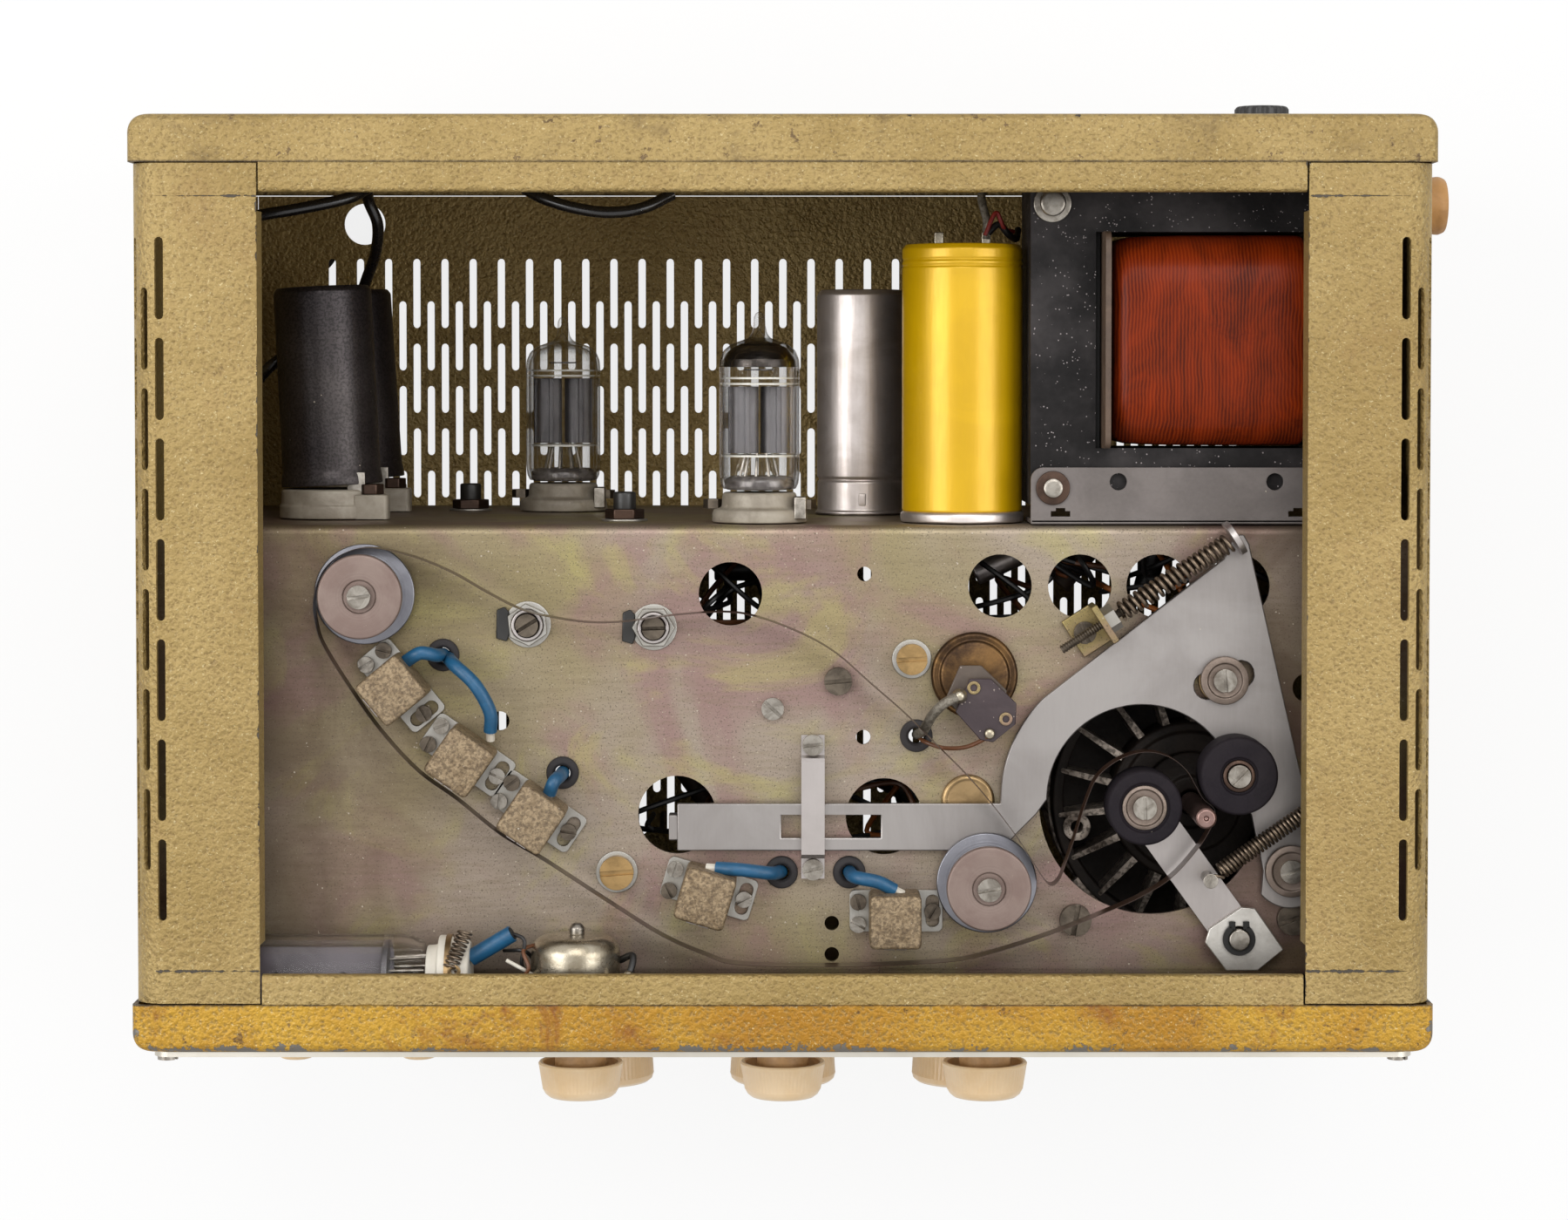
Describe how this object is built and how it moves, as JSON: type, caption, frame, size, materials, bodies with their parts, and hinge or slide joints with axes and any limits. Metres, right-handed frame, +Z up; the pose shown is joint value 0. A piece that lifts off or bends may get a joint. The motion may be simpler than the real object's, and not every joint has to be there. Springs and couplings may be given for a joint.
{
  "type": "tape echo unit",
  "caption": "Open-topped tape echo unit with a slotted hammertone case, tape loop deck with heads, capstan and pinch rollers, and a small valve amplifier on a zinc chassis.",
  "frame": {"origin": "middle of the bounding box at the floor under the feet", "axes": "+Z up through the open top, -Y towards the front panel, +X towards the capstan and transformer"},
  "size_m": [0.338, 0.2662, 0.1775],
  "materials": {
    "case_hammertone": "gold hammertone enamel, worn",
    "front_cap_hammertone": "gold hammertone enamel with rust stains",
    "black_rubber": "matte",
    "roller_rubber": "aged rubber on a bronze hub",
    "chromate": "yellow chromate on zinc, speckled",
    "head_enamel": "beige-grey hammered enamel",
    "roller_metal": "turned, dull",
    "cast_grey": "cast housing",
    "bronze": "turned bronze",
    "bright_steel": "bright steel",
    "zinc": "zinc plated",
    "phenolic": "dark laminate with dust",
    "tape_brown": "oxide tape",
    "silver_can": "drawn can",
    "yellow_can": "yellow paint",
    "glass": "clear glass over grey electrodes",
    "dark_can": "black shield cans",
    "black_iron": "black varnished laminations",
    "coil_lacquer": "orange-brown lacquer",
    "ceramic": "white ceramic",
    "panel_metal": "brushed panel",
    "cream_plastic": "cream plastic",
    "white_plastic": "off-white plastic",
    "black_plastic": "black plastic"
  },
  "bodies": {
    "unit": {"case_bottom": "case_hammertone", "case_right_side": "case_hammertone", "case_left_side": "case_hammertone", "rear_cap": "case_hammertone", "front_cap": "front_cap_hammertone", "side_bumper": "black_rubber", "chassis": "chromate", "motor_housing": "cast_grey", "lever_bracket": "chromate", "lever_spring": "bright_steel", "arm_spring": "bright_steel", "strap_bridge": "zinc", "erase_magnet": "phenolic", "tape_loop": "tape_brown", "silver_can": "silver_can", "yellow_can": "yellow_can", "valve_1": "glass", "valve_2": "glass", "shield_can_1": "dark_can", "shield_can_2": "dark_can", "transformer_core": "black_iron", "transformer_coil": "coil_lacquer", "transformer_bracket": "zinc", "indicator_tube": "glass", "indicator_socket": "ceramic", "tin_can": "silver_can", "front_panel": "panel_metal", "foot_1": "black_rubber", "foot_2": "black_rubber", "foot_3": "black_rubber", "foot_4": "black_rubber", "head_1": "head_enamel", "head_2": "head_enamel", "head_3": "head_enamel", "head_4": "head_enamel", "head_5": "head_enamel"},
    "fuse_cap": {"fuse_cap": "black_plastic"},
    "left_roller": {"left_roller": "roller_metal"},
    "right_roller": {"right_roller": "roller_metal"},
    "capstan": {"capstan": "bronze"},
    "pinch_lever": {"pinch_lever": "bright_steel"},
    "lever_roller": {"lever_roller": "roller_rubber"},
    "pinch_arm": {"pinch_arm": "zinc"},
    "pinch_roller": {"pinch_roller": "roller_rubber"},
    "trimmer_1": {"trimmer_1": "black_plastic"},
    "trimmer_2": {"trimmer_2": "black_plastic"},
    "small_knob_1": {"small_knob_1": "cream_plastic"},
    "small_knob_2": {"small_knob_2": "cream_plastic"},
    "small_knob_3": {"small_knob_3": "cream_plastic"},
    "large_knob_1": {"large_knob_1": "cream_plastic"},
    "large_knob_2": {"large_knob_2": "cream_plastic"},
    "large_knob_3": {"large_knob_3": "cream_plastic"},
    "slim_knob_1": {"slim_knob_1": "cream_plastic"},
    "slim_knob_2": {"slim_knob_2": "cream_plastic"},
    "slim_knob_3": {"slim_knob_3": "cream_plastic"},
    "slim_knob_4": {"slim_knob_4": "cream_plastic"},
    "key_1": {"key_1": "white_plastic"},
    "key_2": {"key_2": "white_plastic"},
    "key_3": {"key_3": "white_plastic"},
    "key_4": {"key_4": "white_plastic"}
  },
  "joints": [
    {"name": "left_roller_spin", "type": "hinge", "parent": "unit", "child": "left_roller", "pos_m": [-0.11265, 0.0035, 0.155], "axis": [0, 0, 1], "continuous": true},
    {"name": "right_roller_spin", "type": "hinge", "parent": "unit", "child": "right_roller", "pos_m": [0.04726, -0.07089, 0.155], "axis": [0, 0, 1], "continuous": true},
    {"name": "capstan_spin", "type": "hinge", "parent": "unit", "child": "capstan", "pos_m": [0.10204, -0.0525, 0.155], "axis": [0, 0, 1], "continuous": true},
    {"name": "pinch_lever_swing", "type": "hinge", "parent": "unit", "child": "pinch_lever", "pos_m": [0.12566, -0.0679, 0.1518], "axis": [0, 0, 1], "range_deg": [-4.6, 0], "stiffness_Nm_per_rad": 0.5, "springref_deg": 17.19, "deforming": ["lever_spring"]},
    {"name": "lever_roller_spin", "type": "hinge", "parent": "pinch_lever", "child": "lever_roller", "pos_m": [0.11086, -0.04221, 0.155], "axis": [0, 0, 1], "continuous": true},
    {"name": "pinch_arm_swing", "type": "hinge", "parent": "unit", "child": "pinch_arm", "pos_m": [0.11225, -0.0854, 0.1518], "axis": [0, 0, 1], "range_deg": [-5, 3], "deforming": ["arm_spring"]},
    {"name": "pinch_roller_spin", "type": "hinge", "parent": "pinch_arm", "child": "pinch_roller", "pos_m": [0.08685, -0.05029, 0.155], "axis": [0, 0, 1], "continuous": true},
    {"name": "trimmer_1_turn", "type": "hinge", "parent": "unit", "child": "trimmer_1", "pos_m": [-0.07106, -0.00461, 0.152], "axis": [0, 0, 1], "range_deg": [-135, 135]},
    {"name": "trimmer_2_turn", "type": "hinge", "parent": "unit", "child": "trimmer_2", "pos_m": [-0.03855, -0.00529, 0.152], "axis": [0, 0, 1], "range_deg": [-135, 135]},
    {"name": "small_knob_1_turn", "type": "hinge", "parent": "unit", "child": "small_knob_1", "pos_m": [-0.05875, -0.1121, 0.129], "axis": [0, 1, 0], "range_deg": [-150, 150]},
    {"name": "small_knob_2_turn", "type": "hinge", "parent": "unit", "child": "small_knob_2", "pos_m": [-0.00525, -0.1121, 0.129], "axis": [0, 1, 0], "range_deg": [-150, 150]},
    {"name": "small_knob_3_turn", "type": "hinge", "parent": "unit", "child": "small_knob_3", "pos_m": [0.04825, -0.1121, 0.129], "axis": [0, 1, 0], "range_deg": [-150, 150]},
    {"name": "large_knob_1_turn", "type": "hinge", "parent": "unit", "child": "large_knob_1", "pos_m": [-0.05485, -0.1121, 0.099], "axis": [0, 1, 0], "range_deg": [-150, 150]},
    {"name": "large_knob_2_turn", "type": "hinge", "parent": "unit", "child": "large_knob_2", "pos_m": [-0.00525, -0.1121, 0.099], "axis": [0, 1, 0], "range_deg": [-150, 150]},
    {"name": "large_knob_3_turn", "type": "hinge", "parent": "unit", "child": "large_knob_3", "pos_m": [0.04435, -0.1121, 0.099], "axis": [0, 1, 0], "range_deg": [-150, 150]},
    {"name": "slim_knob_1_turn", "type": "hinge", "parent": "unit", "child": "slim_knob_1", "pos_m": [-0.13624, -0.1121, 0.112], "axis": [0, 1, 0], "range_deg": [-150, 150]},
    {"name": "slim_knob_2_turn", "type": "hinge", "parent": "unit", "child": "slim_knob_2", "pos_m": [-0.13624, -0.1121, 0.081], "axis": [0, 1, 0], "range_deg": [-150, 150]},
    {"name": "slim_knob_3_turn", "type": "hinge", "parent": "unit", "child": "slim_knob_3", "pos_m": [-0.10326, -0.1121, 0.112], "axis": [0, 1, 0], "range_deg": [-150, 150]},
    {"name": "slim_knob_4_turn", "type": "hinge", "parent": "unit", "child": "slim_knob_4", "pos_m": [-0.10326, -0.1121, 0.081], "axis": [0, 1, 0], "range_deg": [-150, 150]},
    {"name": "key_1_press", "type": "slide", "parent": "unit", "child": "key_1", "axis": [0, 1, 0], "range_m": [0, 0.003], "stiffness_N_per_m": 300, "springref_m": -0.002},
    {"name": "key_2_press", "type": "slide", "parent": "unit", "child": "key_2", "axis": [0, 1, 0], "range_m": [0, 0.003], "stiffness_N_per_m": 300, "springref_m": -0.002},
    {"name": "key_3_press", "type": "slide", "parent": "unit", "child": "key_3", "axis": [0, 1, 0], "range_m": [0, 0.003], "stiffness_N_per_m": 300, "springref_m": -0.002},
    {"name": "key_4_press", "type": "slide", "parent": "unit", "child": "key_4", "axis": [0, 1, 0], "range_m": [0, 0.003], "stiffness_N_per_m": 300, "springref_m": -0.002},
    {"name": "fuse_cap_turn", "type": "hinge", "parent": "unit", "child": "fuse_cap", "pos_m": [0.12595, 0.1291, 0.087], "axis": [0, 1, 0], "range_deg": [-90, 0]}
  ],
  "couplings": [
    {"joint": "lever_roller_spin", "follows": "capstan_spin", "ratio": -0.27136}
  ]
}
